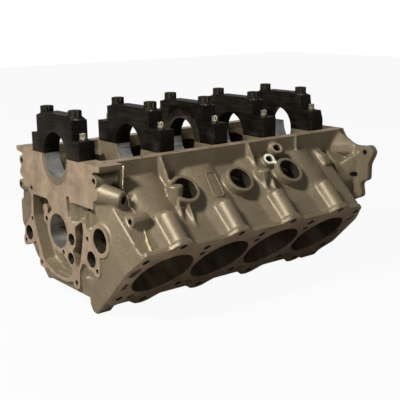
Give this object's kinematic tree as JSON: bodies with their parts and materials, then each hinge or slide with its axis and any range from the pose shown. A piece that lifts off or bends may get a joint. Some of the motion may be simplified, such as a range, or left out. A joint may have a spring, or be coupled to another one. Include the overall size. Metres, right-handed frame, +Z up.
{
  "type": "engine block",
  "caption": "Bare V-type cylinder block upside down: two banks of open bores, ribbed outer walls, timing recess, scalloped clutch flange and black bolted main caps across the crankcase.",
  "frame": {"origin": "on the crankshaft axis, in the middle of the centre main bearing", "axes": "+X runs along the crankshaft towards the clutch flange, -X towards the timing end; +Z is up, towards the sump face, because the block stands upside down on its head decks; -Y is towards the bank that sits further forward"},
  "size_m": [0.6125, 0.5176, 0.3483],
  "materials": {
    "casting": "fine sand-cast skin, with bright machined decks, bores, saddles, rails and end faces",
    "cap_steel": "milled steel, chemically blackened",
    "bolt_steel": "black-oxide bolts, slightly glossy",
    "bright_bolt": "plain steel bolts, slightly oiled",
    "washer_steel": "dark hardened washers"
  },
  "bodies": {
    "root": {"block_casting": "casting", "main_cap_1": "cap_steel", "inner_bolts_1": "bolt_steel", "inner_washers_1": "washer_steel", "outer_bolts_1": "bright_bolt", "outer_washers_1": "washer_steel", "main_cap_2": "cap_steel", "inner_bolts_2": "bolt_steel", "inner_washers_2": "washer_steel", "outer_bolts_2": "bright_bolt", "outer_washers_2": "washer_steel", "main_cap_3": "cap_steel", "inner_bolts_3": "bolt_steel", "inner_washers_3": "washer_steel", "outer_bolts_3": "bright_bolt", "outer_washers_3": "washer_steel", "main_cap_4": "cap_steel", "inner_bolts_4": "bolt_steel", "inner_washers_4": "washer_steel", "outer_bolts_4": "bright_bolt", "outer_washers_4": "washer_steel", "main_cap_5": "cap_steel", "inner_bolts_5": "bolt_steel", "inner_washers_5": "washer_steel", "outer_bolts_5": "bright_bolt", "outer_washers_5": "washer_steel"}
  },
  "joints": []
}
